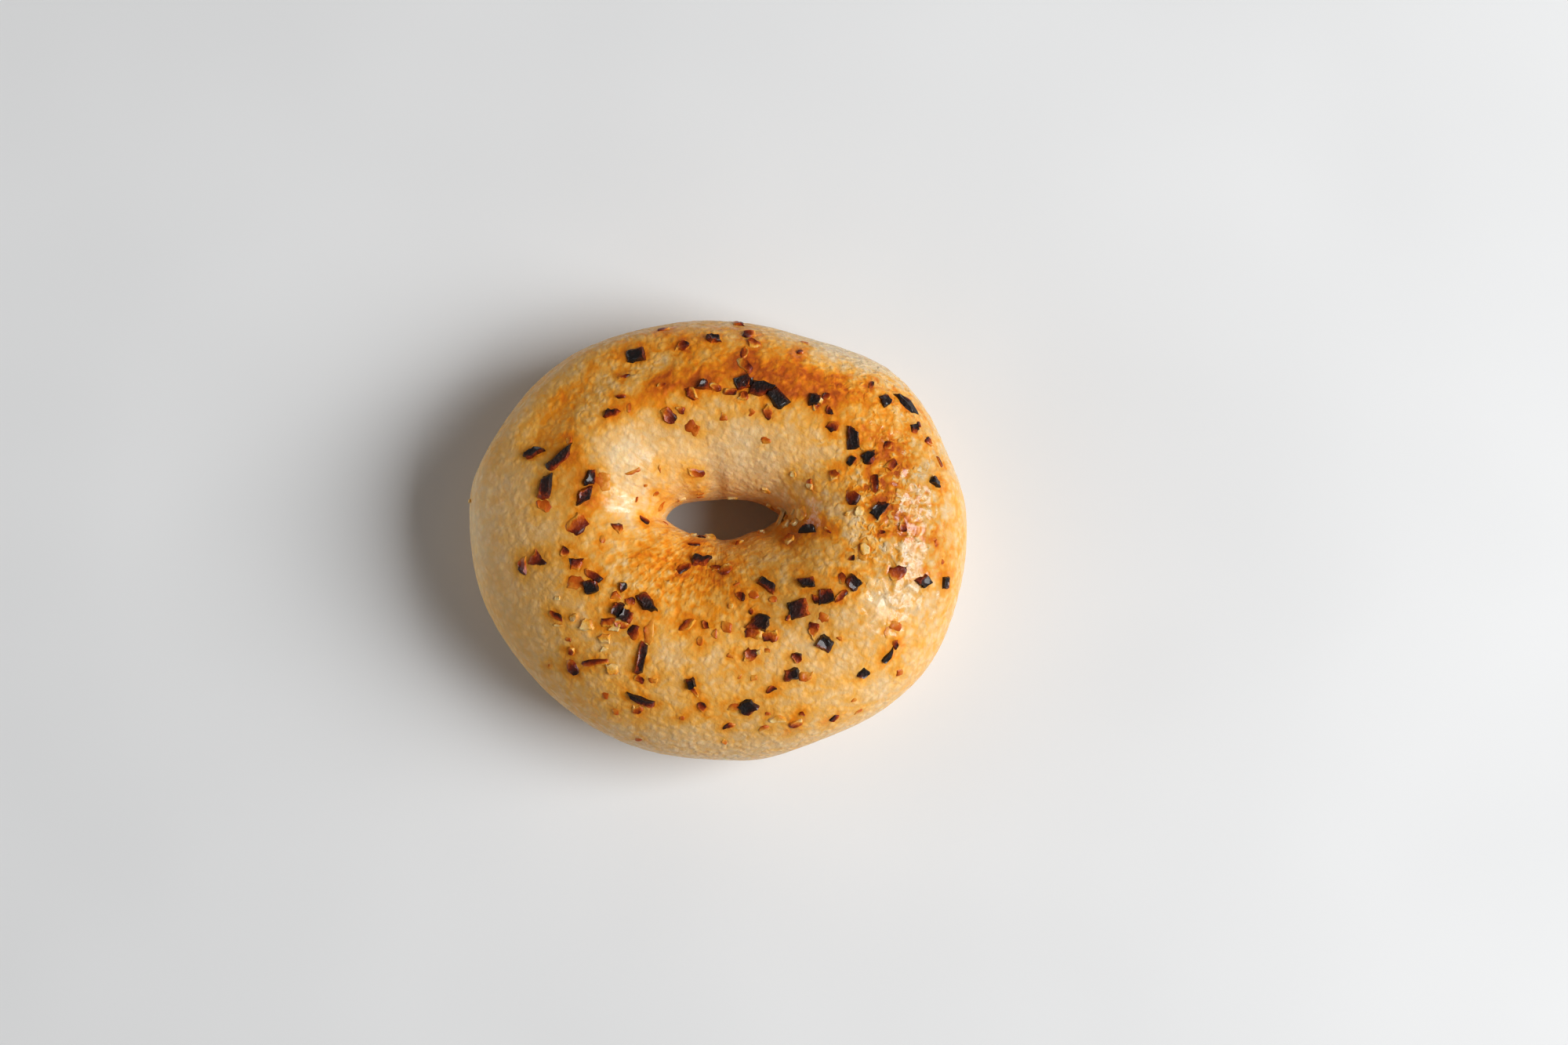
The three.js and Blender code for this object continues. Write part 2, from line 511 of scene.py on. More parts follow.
    def blend(self, share: object, first: object, second: object, mode: str = "MIX") -> Output:
        """Mixes two colours.

        Args:
            share: How much of the second there is, a number or an output.
            first: The first colour or output.
            second: The second colour or output.
            mode: The way of mixing.

        Returns:
            The mixed colour's output.
        """
        node = self.added("Mix", {})
        node.data_type = "RGBA"
        node.blend_type = mode
        for place, value in ((0, share), (6, first), (7, second)):
            self.join(value, node.inputs[place])
        return node.outputs[2]

    def bump(self, height: object, strength: float, depth: float, normal: object = None) -> Output:
        """Adds fine relief to the shading.

        Args:
            height: The height's output, from 0 to 1.
            strength: The share of the relief that shows.
            depth: How deep the relief is, in metres.
            normal: Another bump's output to add to.

        Returns:
            The normal's output.
        """
        node = self.added("Bump", {"Strength": strength, "Distance": depth, "Height": height})
        if normal is not None:
            self.join(normal, node.inputs["Normal"])
        return node.outputs["Normal"]

    def polar(self, middle: tuple[float, float], spokes: float, rings: float) -> Output:
        """Gives coordinates in which a noise is drawn out along the rays from a point seen from above.

        Args:
            middle: The point's x and y in metres.
            spokes: Waves for each radian round the point.
            rings: Waves for each metre away from it.

        Returns:
            The coordinates' output.
        """
        apart = self.added("SeparateXYZ", {0: self.place})
        dx, dy = (self.math("SUBTRACT", apart.outputs[i], middle[i]) for i in range(2))
        away = self.math("SQRT", self.math("ADD", self.times(dx, dx), self.times(dy, dy)))
        return self.added("CombineXYZ", {
            0: self.times(self.math("DIVIDE", dx, away), spokes),
            1: self.times(self.math("DIVIDE", dy, away), spokes),
            2: self.times(away, rings),
        }).outputs[0]


@dataclass(frozen=True)
class CrustFinish:
    """The baked, egg-washed skin: pale dough to caramel, with glossy patches on its small wrinkles."""

    name: str = "baked_crust"
    stops: tuple[Stop, ...] = (
        Stop(0.0, (0.82, 0.58, 0.315)),
        Stop(0.22, (0.83, 0.49, 0.18)),
        Stop(0.42, (0.83, 0.392, 0.062)),
        Stop(0.62, (0.80, 0.26, 0.008)),
        Stop(0.8, (0.70, 0.17, 0.004)),
        Stop(1.0, (0.46, 0.08, 0.004)),
    )
    base_color: Color = (0.42, 0.2, 0.07)
    cloud_scale: float = 170.0
    cloud_share: float = 0.08
    speck_scale: float = 450.0
    speck_share: float = 0.1
    dome_scale: float = 560.0
    dome_softness: float = 0.35
    dome_share: float = 0.1
    streak_middle: tuple[float, float] = (0.001, 0.0047)
    streak_spokes: float = 20.0
    streak_rings: float = 420.0
    # How much the streaks pale the crust, a painted highlight.
    streak_highlight_share: float = 0.2
    crinkle_group_scale: float = 340.0
    crinkle_group_share: float = 0.17
    crinkle_scale: float = 980.0
    crinkle_share: float = 0.15
    wander_scale: float = 380.0
    wander_reach: float = 0.0022
    # The range of that brightness, from the painted shading between the domes to the lighter dome tops.
    darkest: float = 0.88
    brightest: float = 1.08
    smear_scale: float = 520.0
    smear_line_scale: float = 230.0
    soft_scale: float = 700.0
    pore_scale: float = 1500.0
    relief_strength: float = 0.9
    soft_depth: float = 0.00045
    furrow_depth: float = 0.0004
    crinkle_depth: float = 0.00016
    pore_depth: float = 0.00012
    roughness: float = 0.6
    specular: float = 0.1
    coat_weight: float = 1.0
    coat_roughness: float = 0.13
    coat_ior: float = 1.62
    sheen_weight: float = 0.05
    sheen_tint: Color = (1.0, 0.93, 0.82)
    scatter_weight: float = 0.2
    scatter_scale: float = 0.0012
    scatter_radius: Color = (1.0, 0.45, 0.15)

    def build(self) -> bpy.types.Material:
        """Builds the crust's material from the attributes that the crust stores.

        Returns:
            The material.
        """
        sheet = NodeSheet(self.name)
        mottle = sheet.attribute("mottle")
        streaky = sheet.attribute("streaky")
        place = self.warped(sheet)
        clouds = sheet.spread(sheet.grain(self.cloud_scale, 2.0, 0.5, 0.6), 0.32, 0.68, -1.0, 1.0)
        specks = sheet.spread(sheet.grain(self.speck_scale, 1.0, 0.5, 0.8), 0.32, 0.68, -1.0, 1.0)
        domes = sheet.cells(self.dome_scale, place, self.dome_softness)
        domes = sheet.spread(domes, 0.15, 0.6, 1.0, 0.0)
        rays = sheet.polar(self.streak_middle, self.streak_spokes, self.streak_rings)
        furrows = sheet.grain(1.0, 1.0, 0.5, 0.2, rays)
        streaks = sheet.spread(furrows, 0.45, 0.68, 0.0, 1.0)
        crinkled, crinkles = self.crinkles(sheet, place, mottle)

        shift = sheet.total((
            (clouds, self.cloud_share), (specks, self.speck_share), (domes, -self.dome_share),
            # Paler streaks down the hole's slope: a painted highlight along the furrows, where the coat's
            # glints also fall.
            (sheet.times(streaks, streaky), -self.streak_highlight_share),
            (crinkled, -self.crinkle_group_share), (crinkles, -self.crinkle_share),
        ))
        shift = sheet.times(shift, sheet.spread(mottle, 0.1, 0.9, 0.45, 1.8))
        level = sheet.math("ADD", sheet.attribute("toast"), shift, clamp=True)
        # Lighter on the domes and darker between them: painted shading in the hollows of the domes that the
        # bump also raises, with the specks' own random mottling.
        painted_light_and_mottle = sheet.total(((domes, 1.0), (specks, 0.4)))
        painted_light_and_mottle = sheet.spread(painted_light_and_mottle, -0.4, 1.4, self.darkest, self.brightest)
        # Multiplies in the painted light and shading stored on the crust.
        painted_light_and_mottle = sheet.times(painted_light_and_mottle, sheet.attribute("painted_light_and_bake"))
        color = sheet.blend(1.0, sheet.ramp(level, self.stops), painted_light_and_mottle, "MULTIPLY")
        color = sheet.blend(sheet.attribute("under"), color, (*self.base_color, 1.0))

        soft = sheet.times(sheet.math("ADD", domes, sheet.grain(self.soft_scale, 0.0)), 0.5)
        reliefs = (
            (sheet.times(soft, sheet.spread(mottle, 0.1, 1.0, 0.6, 1.0)), self.soft_depth),
            (sheet.times(furrows, streaky), self.furrow_depth),
            (crinkles, self.crinkle_depth),
            (sheet.grain(self.pore_scale, 1.0), self.pore_depth),
        )
        normal = None
        for height, depth in reliefs:
            normal = sheet.bump(height, self.relief_strength, depth, normal)

        sheet.dress({
            "Base Color": color,
            "Normal": normal,
            "Roughness": self.roughness,
            "Specular IOR Level": self.specular,
            "Coat Weight": self.wet(sheet, streaks, streaky),
            "Coat Roughness": self.coat_roughness,
            "Coat IOR": self.coat_ior,
            "Sheen Weight": self.sheen_weight,
            "Sheen Tint": (*self.sheen_tint, 1.0),
            "Subsurface Weight": self.scatter_weight,
            "Subsurface Radius": self.scatter_radius,
            "Subsurface Scale": self.scatter_scale,
        })
        return sheet.material

    def wet(self, sheet: NodeSheet, streaks: object, streaky: object) -> Output:
        """Draws where the egg wash lies thick enough to shine.

        Args:
            sheet: The node sheet to add to.
            streaks: The streaks down the hole's slope.
            streaky: How much of the streaks shows.

        Returns:
            The coat's weight.
        """
        smears = sheet.spread(sheet.grain(self.smear_scale, 2.0, 0.6, 0.8), 0.42, 0.58, 0.05, 0.6)
        lines = sheet.grain(self.smear_line_scale, 3.0, 0.6, 0.8)
        from_middle = sheet.math("ABSOLUTE", sheet.math("SUBTRACT", lines, 0.5))
        smears = sheet.math("MAXIMUM", smears, sheet.spread(from_middle, 0.015, 0.06, 1.0, 0.0))
        smooth = sheet.times(smears, sheet.math("SUBTRACT", 1.0, streaky))
        smears = sheet.math("ADD", smooth, sheet.times(streaks, streaky))
        wash = sheet.times(sheet.attribute("gloss"), smears)
        return sheet.math("MULTIPLY", wash, self.coat_weight, clamp=True)

    def crinkles(self, sheet: NodeSheet, place: object, mottle: object) -> tuple[Output, Output]:
        """Draws the pale crinkled patches into which the skin shrinks where it has browned most.

        Args:
            sheet: The node sheet to add to.
            place: The wandering coordinates.
            mottle: How uneven the skin is.

        Returns:
            The crinkled patches from 0 to 1, and the fine crinkles in them from -1 to 1.
        """
        groups = sheet.grain(self.crinkle_group_scale, 1.0, 0.5, 0.8)
        groups = sheet.spread(groups, 0.44, 0.56, 0.0, 1.0)
        crinkled = sheet.times(groups, sheet.spread(mottle, 0.6, 0.95, 0.0, 1.0))
        fine = sheet.spread(sheet.grain(self.crinkle_scale, 0.0, 0.5, 0.6, place), 0.34, 0.66, -1.0, 1.0)
        return crinkled, sheet.times(fine, crinkled)

    def warped(self, sheet: NodeSheet) -> Output:
        """Gives the object's coordinates with a small wander, so that veins don't run straight.

        Args:
            sheet: The node sheet to add to.

        Returns:
            The coordinates' output.
        """
        wander = sheet.added("TexNoise", {"Vector": sheet.place, "Scale": self.wander_scale})
        small = sheet.added("VectorMath", {0: wander.outputs["Color"]})
        small.operation = "SCALE"
        small.inputs["Scale"].default_value = self.wander_reach
        return sheet.added("VectorMath", {0: sheet.place, 1: small.outputs[0]}).outputs[0]


@dataclass(frozen=True)
class OnionFinish:
    """Toasted onion, from pale crumb to char, read from how far each point of a flake is burnt."""

    name: str
    roughness: float
    coat_weight: float
    scatter_weight: float
    grain_share: float = 0.1
    wrinkle: float = 0.0002
    wear: float = 0.12
    specular: float = 0.15
    coat_roughness: float = 0.14
    scatter_scale: float = 0.0012
    scatter_radius: Color = (1.0, 0.35, 0.08)
    grain_scale: float = 1100.0
    wear_scale: float = 1700.0
    ridge_scale: float = 2100.0
    cell_scale: float = 1500.0
    stops: tuple[Stop, ...] = (
        Stop(0.0, (0.84, 0.60, 0.26)),
        Stop(0.2, (0.80, 0.36, 0.035)),
        Stop(0.4, (0.55, 0.10, 0.004)),
        Stop(0.6, (0.21, 0.019, 0.002)),
        Stop(0.78, (0.04, 0.007, 0.003)),
        Stop(1.0, (0.010, 0.006, 0.005)),
    )

    def build(self) -> bpy.types.Material:
        """Builds the flakes' material from the burn that each flake stores.

        Returns:
            The material.
        """
        sheet = NodeSheet(self.name)
        shift = sheet.grain(self.grain_scale, 3.0, 0.6, 0.5)
        shift = sheet.spread(shift, 0.3, 0.7, -self.grain_share, self.grain_share)
        burn = sheet.math("ADD", sheet.attribute("burn"), shift, clamp=True)
        wear = sheet.grain(self.wear_scale, 2.0)
        wear = sheet.spread(wear, 0.3, 0.7, self.roughness - self.wear, self.roughness + self.wear)
        ridges = sheet.grain(self.ridge_scale, 3.0, 0.6, 0.6)
        ridges = sheet.math("ADD", ridges, sheet.cells(self.cell_scale))
        sheet.dress({
            "Base Color": sheet.ramp(burn, self.stops),
            "Roughness": wear,
            "Normal": sheet.bump(ridges, 1.0, self.wrinkle),
            "Specular IOR Level": self.specular,
            "Coat Weight": self.coat_weight,
            "Coat Roughness": self.coat_roughness,
            "Subsurface Weight": self.scatter_weight,
            "Subsurface Radius": self.scatter_radius,
            "Subsurface Scale": self.scatter_scale,
        })
        return sheet.material


@dataclass
class Crust:
    """The ring's skin as one closed mesh, with its relief and the amounts that its material reads."""

    form: RingForm = field(default_factory=RingForm)
    name: str = "bagel_crust"
    round_steps: int = 480
    top_rows: int = 148
    side_rows: int = 22
    base_rows: int = 8
    major: float = 0.033
    minor: float = 0.02
    side_toast: float = 0.12
    toast_base: float = 0.35
    toast: tuple[Patch, ...] = (
        Patch(-47, -3, 11, 34, 0, LIGHT), Patch(-54, 3, 4, 16, 0, PALE), Patch(5, 17.5, 18, 8, 0, PALE),
        # The PALEST patches at (-20, 13) and (-20.5, -0.5), left of the hole, are partly a painted highlight
        # where the window's reflection falls on that slope and partly paler dough.
        Patch(21, 20, 9, 9, 0, WARM), Patch(-20, 13, 6, 9, 0, PALEST),
        Patch(-20.5, -0.5, 3.5, 6, 0, PALEST), Patch(40, -14, 10, 10, 0, LIGHT),
        Patch(20, -25.5, 7, 6, 0, PALE), Patch(0, -46.5, 34, 5, 0, LIGHT),
        Patch(34, -37, 13, 7, 35, LIGHT), Patch(25, 42, 19, 3, -25, PALEST), Patch(51, 17, 5, 9, 0, LIGHT),
        Patch(12, 36, 9, 5, 0, CARAMEL), Patch(20.5, 32, 9, 4, -10, BROWN), Patch(29, 32, 7, 4, 0, GOLDEN),
        Patch(-2, 34.5, 10, 4, 12, CARAMEL), Patch(-12, 33, 6, 2.4, 35, CARAMEL),
        Patch(-16, 28.5, 10, 2.5, 25, GOLDEN), Patch(-29, 34, 10, 2.2, 38, GOLDEN),
        Patch(-11, 42, 15, 4, 10, GOLDEN), Patch(-33, 22.5, 7, 7, 40, GOLDEN),
        Patch(-38, 25, 14, 4, 38, WARM), Patch(-28, 9.5, 7, 7, 0, GOLDEN), Patch(-25, 7.5, 4, 5, 0, WARM),
        Patch(-19, -4, 9, 5, 0, GOLDEN), Patch(-9, -7, 16, 7, -15, GOLDEN),
        Patch(-7.5, -14, 15, 6, 0, GOLDEN), Patch(16, -5.5, 13, 6, 0, WARM),
        Patch(18, 1.5, 6, 4, 0, GOLDEN), Patch(24.5, -10.5, 7, 4, 0, WARM),
        Patch(36.5, 13, 7, 11, 0, CARAMEL), Patch(35, -2, 5, 7, 0, WARM), Patch(43, 0, 8, 9, 0, GOLDEN),
        Patch(35, 25, 10, 8, 0, WARM),
    )
    painted_light_and_bake_base: float = 1.04
    # Painted light and shading mixed with the bake's own brightness; the crust's colour is multiplied by it.
    painted_light_and_bake: tuple[Patch, ...] = (
        Patch(-54, 0, 5, 38, 0, BRIGHT), Patch(-36, -6, 7, 22, 0, DULL), Patch(-30, 12, 8, 7, 0, DULL),
        Patch(-36, 26, 10, 6, 40, BRIGHT), Patch(-21, 14, 5, 7, 0, BRIGHT), Patch(-5, 17, 6, 4, 0, BRIGHT),
        Patch(18, 16, 12, 8, 0, BRIGHT / 2), Patch(22, 34, 18, 5, -20, BRIGHT / 2),
        Patch(30, 6, 7, 14, 0, BRIGHT / 2), Patch(-2, -20, 16, 7, 0, BRIGHT / 2),
        Patch(26, -14, 10, 7, 0, BRIGHT / 2), Patch(12, -8, 12, 6, 0, DULL), Patch(44, 4, 8, 24, 0, DULL),
        Patch(2, -44, 28, 5, 0, DULL / 2), Patch(-18, -21, 5, 6, 0, DULL), Patch(16, -17, 11, 5, 0, DARK),
        Patch(15, 1.5, 6, 3.5, -20, DARK),
    )
    gloss_base: float = 0.45
    gloss: tuple[Patch, ...] = (
        Patch(-44, -8, 14, 36, 0, -0.3), Patch(34, 4, 22, 34, 0, 0.35), Patch(-22, 13, 9, 9, 0, 0.4),
        Patch(-19, 0, 9, 8, 0, 0.35), Patch(-29, 6, 5, 7, 0, -0.3), Patch(-8, -10, 18, 10, 0, 0.2),
        Patch(8, 34, 22, 6, 0, 0.2),
    )
    side_mottle: float = 0.15
    mottle_base: float = 0.38
    mottle: tuple[Patch, ...] = (
        Patch(-46, -6, 14, 34, 0, -0.28), Patch(38, 8, 16, 30, 0, 0.5), Patch(12, 35, 26, 7, 0, 0.28),
        Patch(-11, -9, 17, 9, 0, 0.35), Patch(-24, 32, 16, 6, 35, 0.2), Patch(3, 18, 22, 9, 0, -0.2),
    )
    streaky_base: float = 0.0
    streaky: tuple[Patch, ...] = (
        Patch(-14, -8, 17, 14, 0, 0.8), Patch(-20, 12, 10, 9, 0, 0.5), Patch(12, -14, 14, 9, 0, 0.3),
    )
    blister: tuple[Patch, ...] = (
        Patch(38, 10, 14, 26, 0, 0.24), Patch(40, -14, 12, 12, 0, 0.18), Patch(16, 34, 20, 6, 0, 0.2),
    )
    blister_base: float = 0.035
    blister_scale: float = 0.55
    pebble_scale: float = 0.42
    pebble_height: float = 0.07
    streak_turns: float = 22.0
    streak_reach: float = 0.2
    streak_rise: float = 0.1
    streak_height: float = 0.08
    swell_scale: float = 0.085
    swell_height: float = 0.25
    wander_scale: float = 0.35
    wander_reach: float = 0.9
    foot: float = 0.5
    foot_fade: float = 5.0
    shoulder: float = 6.0
    shoulder_fade: float = 8.0
    base_glow: float = 1.2

    def section_angles(self) -> np.ndarray:
        """Lists the angles over the crest, down the hole's wall, over the base and up the side.

        Returns:
            The angles in degrees, upward from 0.
        """
        edge = self.form.base_edge
        top = np.linspace(0.0, 180.0, self.top_rows, endpoint=False)
        inner = np.linspace(180.0, 180.0 + edge, self.side_rows, endpoint=False)
        base = np.linspace(180.0 + edge, 360.0 - edge, self.base_rows, endpoint=False)
        outer = np.linspace(360.0 - edge, 360.0, self.side_rows, endpoint=False)
        return np.concatenate([top, inner, base, outer])

    def build(self) -> bpy.types.Object:
        """Models the crust: a ring primitive whose rows and spokes are moved to the bagel's form and relief.

        Returns:
            The crust's object.
        """
        overs = self.section_angles()
        bpy.ops.object.select_all(action="DESELECT")
        bpy.ops.mesh.primitive_torus_add(
            major_segments=self.round_steps // 2, minor_segments=len(overs) // 2,
            major_radius=self.major, minor_radius=self.minor,
        )
        crust = bpy.context.active_object
        crust.name = self.name
        bpy.ops.object.mode_set(mode="EDIT")
        bpy.ops.mesh.select_all(action="SELECT")
        bpy.ops.mesh.subdivide(number_cuts=1)
        bpy.ops.object.mode_set(mode="OBJECT")
        self.order = self.places_on_grid(crust, len(overs))
        arounds = np.arange(self.round_steps) * 360.0 / self.round_steps
        around, over = np.meshgrid(arounds, overs, indexing="ij")
        grid = self.form.points(around, over)
        outward = self.grid_normals(grid)
        shape = grid.shape[:2]
        points = grid.reshape(-1, 3)
        height = self.fine_relief(points, outward.reshape(-1, 3))
        points = points + outward.reshape(-1, 3) * height[:, None]
        points[:, 2] = np.maximum(points[:, 2], 0.0)
        self.grid = points.reshape(*shape, 3)
        crust.data.vertices.foreach_set("co", (points[self.order] * MM).astype(np.float32).ravel())
        crust.data.update()
        bpy.ops.object.shade_smooth()
        return crust

    def places_on_grid(self, ring: bpy.types.Object, rows: int) -> np.ndarray:
        """Finds which spoke and row of the grid each point of the ring primitive stands for.

        Args:
            ring: The ring primitive, cut finer.
            rows: The number of rows over the section.

        Returns:
            The place in the flattened grid of each of the ring's points.
        """
        points = np.zeros(len(ring.data.vertices) * 3, dtype=np.float32)
        ring.data.vertices.foreach_get("co", points)
        x, y, z = points.reshape(-1, 3).T
        around = np.degrees(np.arctan2(y, x)) * self.round_steps / 360.0
        over = np.degrees(np.arctan2(z, np.hypot(x, y) - self.major)) * rows / 360.0
        return np.rint(around).astype(int) % self.round_steps * rows + np.rint(over).astype(int) % rows

    def grid_normals(self, grid: np.ndarray) -> np.ndarray:
        """Finds the outward direction at each point of a closed grid.

        Args:
            grid: Points by spoke and row.

        Returns:
            Unit vectors by spoke and row.
        """
        along = np.roll(grid, -1, axis=0) - np.roll(grid, 1, axis=0)
        up = np.roll(grid, -1, axis=1) - np.roll(grid, 1, axis=1)
        normal = np.cross(along, up)
        return normal / np.maximum(np.linalg.norm(normal, axis=-1, keepdims=True), 1e-9)

    def fine_relief(self, points: np.ndarray, outward: np.ndarray) -> np.ndarray:
        """Finds the height of pebbles, wrinkles, streaks and blisters in the skin.

        Args:
            points: The smooth points in millimetres.
            outward: The outward directions.

        Returns:
            Heights in millimetres.
        """
        plan = points[:, :2]
        blister = painted(self.blister, plan, self.blister_base)
        streaky = painted(self.streaky, plan, self.streaky_base)
        heights = np.zeros(len(points))
        hole = Vector((*self.form.hole_middle, 0.0))
        for i, (x, y, z) in enumerate(points):
            place = Vector((x, y, z))
            bent = place + wandering(place * self.wander_scale) * self.wander_reach
            away = place - hole
            reach = max(away.xy.length, 1.0)
            turn = away.xy / reach * self.streak_turns
            spoke = Vector((*turn, reach * self.streak_reach + z * self.streak_rise))
            heights[i] = (
                self.pebble_height * noise.noise(bent * self.pebble_scale)
                + blister[i] * noise.noise(bent * self.blister_scale)
                + self.streak_height * streaky[i] * noise.noise(spoke)
                + self.swell_height * noise.noise(place * self.swell_scale)
            )
        sides = np.clip((points[:, 2] - self.foot) / self.foot_fade, 0.0, 1.0)
        flat = np.where(outward[:, 2] < -0.9, 0.0, 1.0)
        return heights * sides * flat

    def store(self, crust: bpy.types.Object, flakes: "OnionTopping") -> None:
        """Stores on the crust's points what its material reads.

        Args:
            crust: The crust's object.
            flakes: The onion on the crust, which leaves a darker rim round each flake.
        """
        points = self.grid.reshape(-1, 3)
        plan = points[:, :2]
        upper = np.clip((points[:, 2] - self.shoulder) / self.shoulder_fade, 0.0, 1.0)
        lower = 1.0 - upper
        toast = painted(self.toast, plan, self.toast_base) * upper + self.side_toast * lower
        mottle = painted(self.mottle, plan, self.mottle_base) * upper + self.side_mottle * lower
        gloss = painted(self.gloss, plan, self.gloss_base) * (0.4 + 0.6 * upper)
        amounts = {
            "toast": np.clip(toast + flakes.stain(points), 0.02, 1.0),
            # Painted light and shading, with the bake's own brightness, stored as a multiplier of the
            # crust's colour.
            "painted_light_and_bake": painted(self.painted_light_and_bake, plan, self.painted_light_and_bake_base),
            "gloss": np.clip(gloss, 0.0, 1.0),
            "mottle": np.clip(mottle, 0.0, 1.2),
            "streaky": np.clip(painted(self.streaky, plan, self.streaky_base), 0.0, 1.0),
            "under": np.clip(1.0 - points[:, 2] / self.base_glow, 0.0, 1.0),
        }
        for name, values in amounts.items():
            layer = crust.data.attributes.new(name, "FLOAT", "POINT")
            layer.data.foreach_set("value", values[self.order].astype(np.float32))

    def dress(self, crust: bpy.types.Object) -> None:
        """Gives the crust its material.

        Args:
            crust: The crust's object.
        """
        crust.data.materials.clear()
        crust.data.materials.append(CrustFinish().build())


class Toast(Enum):
    """How far a piece of onion is toasted."""

    CHARRED = "charred"
    BROWNED = "browned"
    GOLDEN = "golden"
    PALE = "pale"


@dataclass(frozen=True)
class Kind:
    """What pieces of one toast have in common: burn, thickness, outline, rim and finish."""

    burn: float
    burn_spread: float
    border_fade: float
    thick: float
    roundness: float
    cut_share: float
    rim: float
    finish: OnionFinish


KINDS = {
    Toast.CHARRED: Kind(
        0.95, 0.26, 0.14, 1.0, 0.2, 0.25, 0.15, OnionFinish("charred_onion", 0.5, 0.6, 0.0)
    ),
    Toast.BROWNED: Kind(
        0.55, 0.3, 0.1, 0.5, 0.55, 0.25, 0.1, OnionFinish("browned_onion", 0.45, 0.25, 0.1, 0.06, 0.0001)
    ),
    Toast.GOLDEN: Kind(
        0.37, 0.12, 0.0, 0.22, 0.6, 0.15, 0.0, OnionFinish("golden_onion", 0.45, 0.2, 0.05, 0.04, 0.00005)
    ),
    Toast.PALE: Kind(
        0.12, 0.2, 0.0, 0.6, 0.5, 0.3, 0.1, OnionFinish("pale_onion", 0.45, 0.2, 0.2, 0.05, 0.00008)
    ),
}

